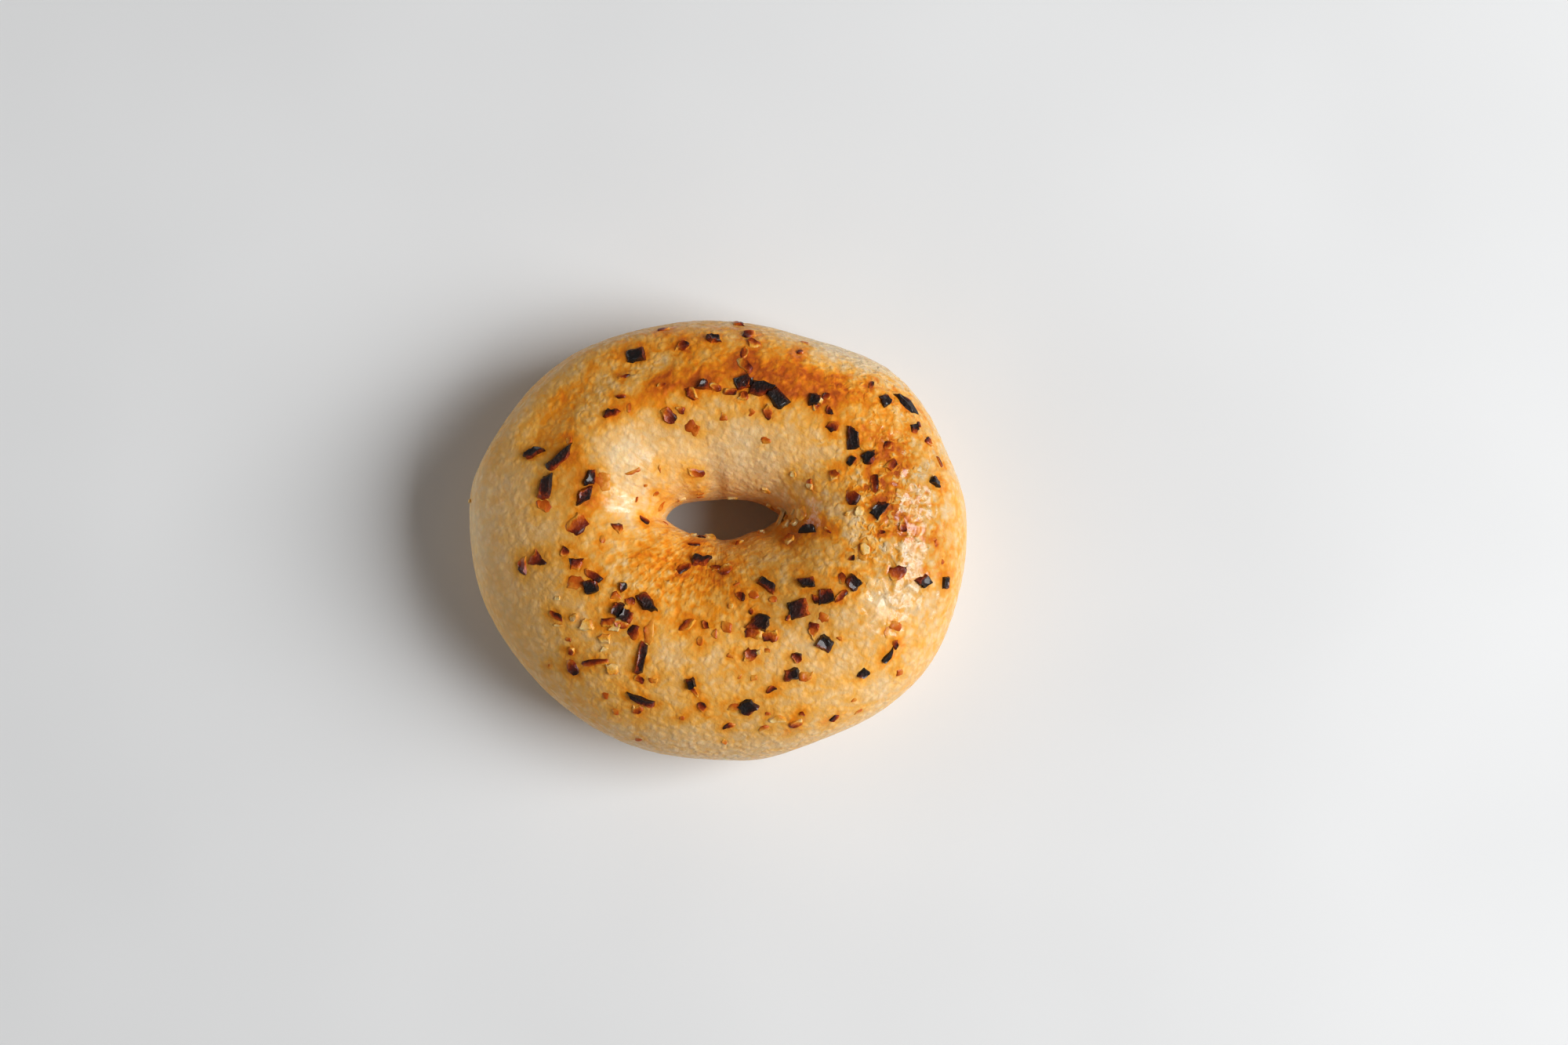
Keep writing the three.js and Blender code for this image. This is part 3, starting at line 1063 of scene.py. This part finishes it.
# The pieces of onion seen from above in millimetres: x, y, length, width, and turn from +X in degrees.
FLAKES = {
    Toast.CHARRED: (
        (-39.5, 17.5, 5.2, 2.1, 25), (-33.5, 16, 7.3, 2.3, 40), (-37, 10, 5.8, 2.3, 80),
        (-27, 12, 3.8, 3.5, 0), (-28.5, 8, 4.9, 2.4, 25), (-18, 39, 4.2, 3.1, 10), (-3, 32, 3.1, 2.1, 0),
        (6.5, 32.5, 3.1, 2.3, 80), (5.5, 32.5, 3.5, 2.5, 20), (9.5, 31, 5, 3.4, -15),
        (13, 29, 4.5, 3, -50), (41.5, 28.5, 7, 2.4, -45), (36.5, 29, 3, 2.6, 45), (21, 28.5, 2.8, 2.4, 80),
        (29.5, 20.5, 4.9, 2.4, 90), (33, 16, 2.8, 2.4, 20), (29, 15.5, 2.3, 1.4, 55),
        (47.5, 11.5, 3, 2.6, 45), (35, 5, 4.9, 2.6, 55), (-15, -15.5, 4.5, 2.6, -60),
        (-21.5, -16.5, 2.8, 2.8, -30), (-19.5, -18, 3, 2.6, -30), (-27, -12, 3.1, 2.8, 10),
        (-20, -12, 2.1, 1.4, 90), (19.5, 1, 4, 1.7, -12), (17.5, -16.5, 4, 3.7, 20),
        (9, -19.5, 4.2, 3.3, -15), (23.5, -14, 3.1, 3.1, 10), (29, -11.5, 4.2, 3.1, 50),
        (23, -24.5, 3.7, 2.8, 60), (44.5, -10.5, 2.8, 2.4, 30), (49.5, -10.5, 2.6, 1.7, 90),
        (43, 23, 2.1, 1.7, 20), (6.5, -37.5, 3.7, 3.3, 45), (16, -30.5, 3, 2.3, 10),
        (31.5, -30.5, 2.4, 1.9, 60), (19, -11, 3.8, 2.3, 0), (11, -11.5, 4.5, 1.9, -40),
        (-16, -27, 6.6, 1.7, 80), (-16.5, -36, 7.3, 1.7, -20), (-1, 42.5, 3.1, 1.9, 10),
        (37, -26.5, 4.2, 1.2, 50), (-5.5, -32.5, 2.1, 2.1, 30), (-3.5, -6, 4.2, 2.3, 0),
    ),
    Toast.BROWNED: (
        (-12, 45.5, 2.8, 1.2, 15), (4.5, 47.5, 2.8, 2.4, 0), (-7.5, 41, 3.5, 2.6, 0),
        (7, 44, 3.3, 2.4, 20), (8, 41.5, 4, 2.5, 90), (6, 39.5, 4.4, 2, 60), (6, 36.5, 4.8, 2.1, -55),
        (-20.5, 34, 3.5, 0.9, 10), (-12, 32, 2.6, 1, 0), (-21, 29.5, 2.8, 1.2, 10),
        (-23, 25.5, 4, 2.3, 50), (-10.5, 25.5, 4.4, 2.8, -50), (-8, 26.5, 2.3, 1.7, 0),
        (-5.5, 30, 3.1, 3, 0), (-0.5, 31.5, 3.1, 1.9, 0), (3, 30.5, 3.1, 1.7, 0), (5.5, 29.5, 2.6, 2.1, 0),
        (11, 26, 4.4, 2.1, -60), (18, 40, 1.9, 1.6, 0), (33.5, 32.5, 3, 0.9, 65), (24, 26.5, 2.1, 2.1, 0),
        (21.5, 27, 1.7, 1.4, 0), (23.5, 29.5, 2.1, 1.7, 0), (25, 23, 2.6, 2.3, 45), (44, 24, 1.4, 1.4, 0),
        (37, 19, 2.4, 1.9, 0), (46, 20.5, 2.1, 2.1, 0), (48.5, 16, 2.8, 0.9, -55),
        (37.5, 14.5, 3, 1.9, 45), (25.5, 12.5, 2.6, 2.1, 0), (34, 10.5, 3.7, 1.9, 90),
        (29, 7.5, 3.7, 2.8, -30), (-30, 1.5, 4.2, 3.5, 45), (-21.5, 1, 2.6, 2.4, 0),
        (-16, 3, 3.1, 1.2, -20), (-32.5, -4, 2.8, 1.7, 80), (-42, -7, 4.7, 2.4, 85),
        (-38.5, -5.5, 4.2, 3.1, 0), (-30, -7, 3.1, 2.6, 0), (-26.5, -9.5, 4.4, 1.6, -35),
        (-18.5, -15, 2.1, 1.6, 0), (-23, -19.5, 3.5, 2.1, 0), (-20, -20, 4.2, 2.1, -20),
        (-17, -21.5, 3.7, 3.5, 0), (-34.5, -18, 3.8, 1.4, -20), (-6.5, -20, 4.5, 2.4, 0),
        (-2, -20, 2.1, 1.9, 0), (7.5, -17, 1.7, 0.9, 90), (8, -21.5, 3.5, 3, 0),
        (11.5, -22.5, 3.3, 3.1, 0), (7.5, -26.5, 3.5, 2.6, 0), (17, -27, 2.4, 2.1, 0),
        (12, -33.5, 3.5, 1.6, 30), (-3, -37.5, 3.1, 1.6, -65), (-4.5, -34.5, 3.1, 0.9, -45),
        (2.5, -41.5, 3, 1.2, 20), (17, -41, 3.3, 1.9, 25), (18.5, -39, 1.4, 1.4, 0),
        (-31, -29, 3.3, 3.1, 0), (-26, -28, 5.9, 1.6, 10), (-31.5, -25.5, 1.9, 1.7, 0),
        (-16.5, -31.5, 2.6, 1.4, -35), (-17, -38, 2.6, 1.9, 0), (-7, -7.5, 3.8, 1.9, 45),
        (-0.5, -7.5, 2.3, 1.6, 0), (1.5, -8, 3.8, 2.8, 40), (4.5, -1.5, 2.4, 1.6, -20),
        (-3.5, 0, 1.8, 1.4, 0), (16, -1, 4.6, 2.6, -22), (-5, -2, 3, 1, 10), (24, 0.5, 2.1, 0.5, -40),
        (-5, 13.5, 4.9, 2.1, -20), (5, -14, 2.4, 2.1, 0), (15.5, -18.5, 1.6, 1.4, 90),
        (21.5, -14.5, 2.4, 2.1, 0), (26.5, -14, 3.8, 1.4, 35), (27, -10, 2.6, 1.7, 90),
        (20.5, -21.5, 3.5, 2.4, 65), (39, -9, 4.4, 3, 0), (38.5, -24, 2.6, 2.4, 0),
        (25, -40, 3.3, 1.6, 45), (35.5, 0, 1.7, 0.9, 0), (29, -5.5, 1.4, 1.2, 0), (40, 1, 2.1, 1.7, 90),
        (9.5, 1, 1.6, 1.4, 90),
    ),
    Toast.GOLDEN: (
        (-32, 20, 1.7, 1.4, 90), (-18.5, 13, 4.7, 1, 20), (-12.5, 14, 2.1, 2.1, 0),
        (-24.5, 11, 3.7, 3.7, 0), (-37.5, 5.5, 3.7, 3.1, 0), (-5, 22.5, 4.7, 2.8, -45),
        (1.5, 25, 2.3, 1.9, 0), (10.5, 20, 2.4, 1.6, 0), (7.5, 26, 1.7, 1.7, 0), (19, 42.5, 2.1, 1.9, 0),
        (16.5, 13, 1.4, 1.4, 0), (20, 10.5, 2.4, 1.7, 90), (-4, 9.5, 2.6, 1.2, 0),
        (-12.5, 6.5, 2.8, 1.7, 30), (-11.5, 3, 1.7, 1.2, -45), (-13.5, 9, 1.6, 1.4, 0),
        (-15.5, 10.5, 1.2, 0.7, 0), (-17.5, 7.5, 1.4, 0.7, 90), (-24.5, -1.5, 1.7, 1.6, 90),
        (-30, -11, 4.4, 2.8, 0), (-21.5, -13.5, 2.6, 2.6, 0), (-14.5, -21.5, 5.9, 2.1, 90),
        (-19, 27, 2.6, 1, 90), (-4, 9, 2.6, 0.8, -5), (-1.5, -2.5, 1.4, 1, 0), (4.5, -11, 1.7, 1.4, 90),
        (8.5, -10.5, 2.3, 0.9, 0), (8, -13.5, 2.1, 2.1, 0), (12, -14.5, 2.1, 1.6, 0),
        (2, -20.5, 2.8, 2.6, 0), (-0.5, -22, 1.9, 1.9, 0), (-3.5, -23.5, 2.4, 1.4, 90),
        (3, -26.5, 1.6, 1.4, 0), (11, -25.5, 1.4, 1.4, 0), (5, -31, 1.4, 1.2, 0), (8, -31.5, 1.7, 1.4, 90),
        (19.5, -31, 3.8, 2.3, 0), (3.5, -37.5, 3, 1.9, 0), (11, -39, 1.6, 1, 0), (10, -42, 2.6, 1.6, 0),
        (1.5, -45, 2.1, 1.6, 90), (-7.5, -40, 1.4, 1.2, 0), (-13.5, -32, 2.4, 1.4, 0),
        (-22, -38.5, 1.9, 1.6, 0), (-24, -35, 1.9, 1.6, 0), (-17, -44.5, 2.6, 1.6, 0),
        (30.5, -38.5, 2.4, 1, 20), (29.5, -36, 1.6, 1.2, 0), (39.5, -30, 2.1, 1.6, 0),
        (38.5, -20, 3.3, 1.9, -25), (36.5, -21.5, 3, 1, 90), (26.5, -23, 1.4, 1.4, 0),
        (23, -18.5, 2.4, 2.4, 0), (47.5, -2, 2.1, 1.7, 0), (49, -6, 1.4, 1, 90), (31.5, -4, 3.5, 2.4, 90),
        (-32, -23, 1.4, 1.2, 0), (-36.5, -28.5, 1.4, 1, 0),
    ),
    Toast.PALE: (
        (13, -40, 4.5, 1.7, 0), (-22.5, -29.5, 2.6, 2.3, 0), (-28, -20, 3.3, 2.4, 0),
        (-30.5, -18.5, 1.7, 1.7, 0), (-24, -22.5, 3.1, 2.8, 90), (-22, -20.5, 2.8, 1.7, 0),
        (10.5, 10, 3.2, 1.7, -20), (11.5, 7, 2.2, 1.6, -40), (14, 6, 2.6, 1.8, 0), (16.5, 5, 1.6, 0.9, 60),
        (18.5, 4.5, 3, 2.8, 20), (15, 4, 1.4, 1.2, 20), (15, 2.5, 2.4, 2.2, 0), (17, 2.8, 2, 1.6, 50),
        (13.5, 5, 1.2, 1, 0), (9.5, 1, 1.6, 1.6, 0), (3, 9, 2.4, 1.1, 0), (-8, 8.5, 1.8, 1.6, 0),
        (-5.5, 0.5, 1.6, 1.2, 0), (-2, 0, 2.6, 2, 0), (0, 0, 1.1, 1, 0), (20, 10.5, 1.8, 1.6, 80),
        (16.5, 13, 1.4, 1.2, 0), (30.5, 4.5, 2, 1.8, 0), (32, -3.5, 2.6, 2.2, 90), (-54.5, 8, 1, 1, 0),
        (-46.5, -24.5, 1, 1, 0), (22.5, 28.5, 1.4, 1, 60), (9, -26, 1.4, 1, 30), (-24, -25, 2.1, 1, 20),
        (-34, -20, 2.4, 0.7, 0),
    ),
}


@dataclass
class OnionTopping:
    """The onion on the crust: one piece for each kind of toast, its flakes laid on the crust's relief."""

    cuts: int = 3
    seed: int = 4127
    root: float = 0.35
    growth: float = 1.06
    ragged: float = 0.24
    ragged_scale: float = 1.1
    widest_ragged: float = 2.6
    shear: float = 0.15
    corner_cut: tuple[float, float] = (0.35, 0.8)
    probe_height: float = 4.0
    stain_reach: float = 1.5
    stain_depth: float = 0.3
    stain_span: float = 9.0
    stain_floor: float = 12.0
    golden_stain: float = 0.6

    def mould(self) -> tuple[np.ndarray, list[tuple[int, ...]]]:
        """Models the block that every flake is shaped from: a cube cut into small squares.

        Returns:
            The block's points from -1 to 1 and its faces.
        """
        bpy.ops.object.select_all(action="DESELECT")
        bpy.ops.mesh.primitive_cube_add(size=2.0)
        block = bpy.context.active_object
        bpy.ops.object.mode_set(mode="EDIT")
        bpy.ops.mesh.select_all(action="SELECT")
        bpy.ops.mesh.subdivide(number_cuts=self.cuts)
        bpy.ops.object.mode_set(mode="OBJECT")
        points = np.array([vertex.co[:] for vertex in block.data.vertices])
        faces = [tuple(face.vertices) for face in block.data.polygons]
        bpy.data.objects.remove(block)
        return points, faces

    def shaped(self, points: np.ndarray, length: float, width: float, kind: Kind,
               draw: random.Random) -> np.ndarray:
        """Shapes one flake from the block, lying flat with its foot below it.

        Args:
            points: The block's points from -1 to 1.
            length: The flake's length in millimetres.
            width: Its width in millimetres.
            kind: What its kind has in common.
            draw: The random draws.

        Returns:
            The flake's points in millimetres.
        """
        u, v, w = points.T
        round_off = kind.roundness * draw.uniform(0.7, 1.3)
        x = u * np.sqrt(np.maximum(0.05, 1.0 - round_off * v * v / 2.0))
        y = v * np.sqrt(np.maximum(0.05, 1.0 - round_off * u * u / 2.0))
        for side_u, side_v in ((-1, -1), (-1, 1), (1, -1), (1, 1)):
            near = (1.0 + side_u * u) * (1.0 + side_v * v) / 4.0
            cut = draw.uniform(*self.corner_cut) if draw.random() < kind.cut_share else 0.0
            x = x - side_u * near * (draw.uniform(-self.shear, self.shear) + cut)
            y = y - side_v * near * draw.uniform(-self.shear, self.shear)
        thick = kind.thick * draw.uniform(0.75, 1.25) * min(1.0, 0.45 + 0.3 * width)
        edge = np.maximum(np.abs(u), np.abs(v)) ** 3
        top = 0.5 + 0.5 * w
        lean = draw.uniform(-0.25, 0.25) * u + draw.uniform(-0.2, 0.2) * v
        z = top * thick * (0.8 + kind.rim * (edge - 0.4) + lean) - (1.0 - top) * self.root
        rounding = 1.0 - 0.3 * top**2 * (1.0 - kind.rim) ** 2
        x = x * length / 2.0 * rounding * self.growth
        y = y * width / 2.0 * rounding * self.growth
        shift = Vector((draw.uniform(0, 99), draw.uniform(0, 99), draw.uniform(0, 99)))
        ragged = self.ragged * min(width, self.widest_ragged)
        shaped = np.stack([x, y, z], axis=-1)
        for i, point in enumerate(shaped):
            wander = wandering(Vector(point) * self.ragged_scale + shift)
            shaped[i] += np.array(wander) * ragged * (1.0, 1.0, 0.6 * top[i])
        return shaped

    def build(self, crust: bpy.types.Object) -> dict[Toast, bpy.types.Object]:
        """Models the pieces of all kinds on the crust.

        Args:
            crust: The crust's object.

        Returns:
            One object for each kind.
        """
        block, faces = self.mould()
        tree = BVHTree.FromObject(crust, bpy.context.evaluated_depsgraph_get())
        draw = random.Random(self.seed)
        made = {}
        for toast, rows in FLAKES.items():
            kind = KINDS[toast]
            points: list[np.ndarray] = []
            all_faces: list[tuple[int, ...]] = []
            burns: list[np.ndarray] = []
            for x, y, length, width, turn in rows:
                flake = self.shaped(block, length, width, kind, draw)
                start = sum(len(part) for part in points)
                points.append(self.laid(flake, tree, x, y, turn))
                all_faces += [tuple(start + corner for corner in face) for face in faces]
                burns.append(self.burn(block, kind, draw))
            made[toast] = self.joined(toast, np.concatenate(points), all_faces, np.concatenate(burns))
        return made

    def laid(self, flake: np.ndarray, tree: BVHTree, x: float, y: float, turn: float) -> np.ndarray:
        """Lays a flake on the crust under a place seen from above, so that it follows the crust.

        Args:
            flake: The flake's points, flat, in millimetres.
            tree: The crust to lay it on.
            x: The place's x in millimetres.
            y: The place's y in millimetres.
            turn: The flake's turn from +X in degrees.

        Returns:
            The flake's points in metres.
        """
        point, normal = self.struck(tree, Vector((x * MM, y * MM, 0.1)), Vector((0, 0, -1)))
        along = Vector((math.cos(math.radians(turn)), math.sin(math.radians(turn)), 0.0))
        along = (along - normal * along.dot(normal)).normalized()
        across = normal.cross(along)
        placed = np.zeros_like(flake)
        for i, (u, v, w) in enumerate(flake):
            start = point + (along * u + across * v + normal * self.probe_height) * MM
            hit, _ = self.struck(tree, start, -normal)
            placed[i] = hit + normal * (w * MM)
        return placed

    def struck(self, tree: BVHTree, start: Vector, way: Vector) -> tuple[Vector, Vector]:
        """Finds where a ray meets the crust, or the nearest place on it if it misses.

        Args:
            tree: The crust.
            start: The ray's start.
            way: The ray's direction.

        Returns:
            The point and the crust's outward direction there.
        """
        point, normal, _, _ = tree.ray_cast(start, way)
        if point is None:
            point, normal, _, _ = tree.find_nearest(start)
        return point, normal

    def burn(self, block: np.ndarray, kind: Kind, draw: random.Random) -> np.ndarray:
        """Finds how far each point of a flake is burnt: one end or side more than the other.

        Args:
            block: The block's points from -1 to 1.
            kind: What the flake's kind has in common.
            draw: The random draws.

        Returns:
            The burn of each point, from 0 to 1.
        """
        way = draw.uniform(0.0, 2.0 * math.pi)
        across = block[:, 0] * math.cos(way) + block[:, 1] * math.sin(way)
        level = kind.burn + draw.uniform(-0.5, 0.5) * kind.burn_spread
        border = np.maximum(np.abs(block[:, 0]), np.abs(block[:, 1])) ** 3 * (0.6 - 0.5 * across)
        foot = np.maximum(0.0, -block[:, 2])
        burn = level + kind.burn_spread * 0.6 * across - kind.border_fade * (border + foot)
        return np.clip(burn, 0.0, 1.0)

    def joined(self, toast: Toast, points: np.ndarray, faces: list[tuple[int, ...]],
               burns: np.ndarray) -> bpy.types.Object:
        """Joins the flakes of one kind into one piece.

        Args:
            toast: The kind.
            points: All flakes' points in metres.
            faces: All flakes' faces.
            burns: The burn of each point.

        Returns:
            The piece's object.
        """
        mesh = bpy.data.meshes.new(f"onion_{toast.value}")
        mesh.from_pydata(points.tolist(), [], faces)
        layer = mesh.attributes.new("burn", "FLOAT", "POINT")
        layer.data.foreach_set("value", burns.astype(np.float32))
        piece = bpy.data.objects.new(mesh.name, mesh)
        bpy.context.scene.collection.objects.link(piece)
        bpy.ops.object.select_all(action="DESELECT")
        piece.select_set(True)
        bpy.context.view_layer.objects.active = piece
        bpy.ops.object.shade_smooth_by_angle(angle=SMOOTH_ANGLE)
        mesh.materials.append(KINDS[toast].finish.build())
        return piece

    def stain(self, points: np.ndarray) -> np.ndarray:
        """Finds how much the onion's juice has browned the crust round the flakes.

        Args:
            points: The crust's points in millimetres.

        Returns:
            What to add to the crust's toast at each point.
        """
        added = np.zeros(len(points))
        upper = points[:, 2] > self.stain_floor
        for toast in (Toast.CHARRED, Toast.BROWNED, Toast.GOLDEN):
            depth = self.stain_depth * (self.golden_stain if toast is Toast.GOLDEN else 1.0)
            for x, y, length, width, turn in FLAKES[toast]:
                half_length = length / 2 + self.stain_reach
                spot = Patch(x, y, half_length, width / 2 + self.stain_reach, turn, depth)
                away = np.hypot(points[:, 0] - x, points[:, 1] - y)
                near = np.flatnonzero(upper & (away < self.stain_span))
                seat = points[near[np.argmax(points[near, 2] - 2.0 * away[near])], 2]
                drop = np.abs(points[near, 2] - seat) / (half_length + 0.5)
                stained = spot.weight(points[near, :2]) * np.exp(-(drop**3))
                added[near] = np.maximum(added[near], stained)
        return added


@dataclass
class Table:
    """The plain pale table top that the bagel lies on."""

    size: float = 4.0
    color: Color = (0.85, 0.845, 0.84)
    roughness: float = 0.55

    def build(self) -> bpy.types.Object:
        """Makes the table top, just under the bagel's base.

        Returns:
            The table's object.
        """
        bpy.ops.object.select_all(action="DESELECT")
        bpy.ops.mesh.primitive_plane_add(size=self.size)
        table = bpy.context.active_object
        table.name = "table_top"
        sheet = NodeSheet("pale_table")
        tint = sheet.spread(sheet.grain(9.0, 2.0), 0.3, 0.7, 0.97, 1.03)
        color = sheet.blend(1.0, (*self.color, 1.0), tint, "MULTIPLY")
        sheet.dress({"Base Color": color, "Roughness": self.roughness})
        table.data.materials.append(sheet.material)
        return table


@dataclass
class Studio:
    """Soft daylight from one large window on the right, and a dim even room."""

    azimuth: float = -5.0
    elevation: float = 40.0
    distance: float = 2.0
    size: float = 1.34
    power: float = 52.0
    color: Color = (0.965, 0.985, 1.0)
    fill_azimuth: float = 178.0
    fill_elevation: float = 6.0
    fill_power: float = 11.0
    room_color: Color = (1.0, 0.97, 0.95)
    room_strength: float = 0.115

    def build(self) -> None:
        """Adds the window, the pale wall that faces it and the room's light."""
        self.panel("window", self.azimuth, self.elevation, self.power)
        self.panel("wall", self.fill_azimuth, self.fill_elevation, self.fill_power)
        world = bpy.data.worlds.new("room")
        world.use_nodes = True
        background = world.node_tree.nodes["Background"]
        background.inputs["Color"].default_value = (*self.room_color, 1.0)
        background.inputs["Strength"].default_value = self.room_strength
        bpy.context.scene.world = world
        bpy.context.scene.view_settings.view_transform = "Standard"

    def panel(self, name: str, azimuth: float, elevation: float, power: float) -> None:
        """Adds one large square light that faces the bagel.

        Args:
            name: The light's name.
            azimuth: Its direction from +X in degrees.
            elevation: Its height over the table in degrees.
            power: Its power in watts.
        """
        around = math.radians(azimuth)
        up = math.radians(elevation)
        way = Vector((math.cos(up) * math.cos(around), math.cos(up) * math.sin(around), math.sin(up)))
        light = bpy.data.lights.new(name, "AREA")
        light.shape = "SQUARE"
        light.size = self.size
        light.energy = power
        light.color = self.color
        lamp = bpy.data.objects.new(name, light)
        lamp.location = way * self.distance
        lamp.rotation_mode = "QUATERNION"
        lamp.rotation_quaternion = way.to_track_quat("Z", "Y")
        bpy.context.scene.collection.objects.link(lamp)


@dataclass
class Viewpoint:
    """The camera: almost straight above, leaning a little towards the near edge of the table."""

    frame_width_px: int = 2000
    frame_height_px: int = 1333
    mm_per_px: float = 110.0 / 630.0
    bagel_column_px: float = 917.0
    bagel_row_px: float = 688.0
    distance: float = 0.583
    tilt: float = 5.0
    plane_height: float = 0.0165
    sensor: float = 36.0

    def build(self) -> bpy.types.Object:
        """Adds the camera at the photograph's angle and framing.

        Returns:
            The camera's object.
        """
        right = (self.frame_width_px / 2 - self.bagel_column_px) * self.mm_per_px * MM
        up = (self.bagel_row_px - self.frame_height_px / 2) * self.mm_per_px * MM
        target = Vector((right, up, self.plane_height))
        tilt = math.radians(self.tilt)
        data = bpy.data.cameras.new("camera")
        data.sensor_width = self.sensor
        data.lens = self.sensor * self.distance / (self.frame_width_px * self.mm_per_px * MM)
        camera = bpy.data.objects.new("camera", data)
        camera.location = target + Vector((0.0, -math.sin(tilt), math.cos(tilt))) * self.distance
        camera.rotation_euler = (tilt, 0.0, 0.0)
        bpy.context.scene.collection.objects.link(camera)
        bpy.context.scene.camera = camera
        return camera


def triangles(piece: bpy.types.Object) -> int:
    """Counts a piece's triangles.

    Args:
        piece: The piece.

    Returns:
        The number of triangles.
    """
    return sum(len(face.vertices) - 2 for face in piece.data.polygons)


def main() -> None:
    """Builds and dresses the bagel, its table, light and camera, and reports each piece."""
    logging.basicConfig(level=logging.INFO, format="%(name)s: %(message)s", stream=sys.stdout)
    Viewpoint().build()
    Studio().build()
    Table().build()

    crust_maker = Crust()
    topping = OnionTopping()
    crust = crust_maker.build()
    crust_maker.store(crust, topping)
    crust_maker.dress(crust)
    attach(crust, BODY)
    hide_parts(NODE)
    LOG.info("%s: %d triangles", crust.name, triangles(crust))

    for toast, piece in topping.build(crust).items():
        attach(piece, BODY)
        LOG.info("%s: %d triangles", piece.name, triangles(piece))


if __name__ == "__main__":
    main()
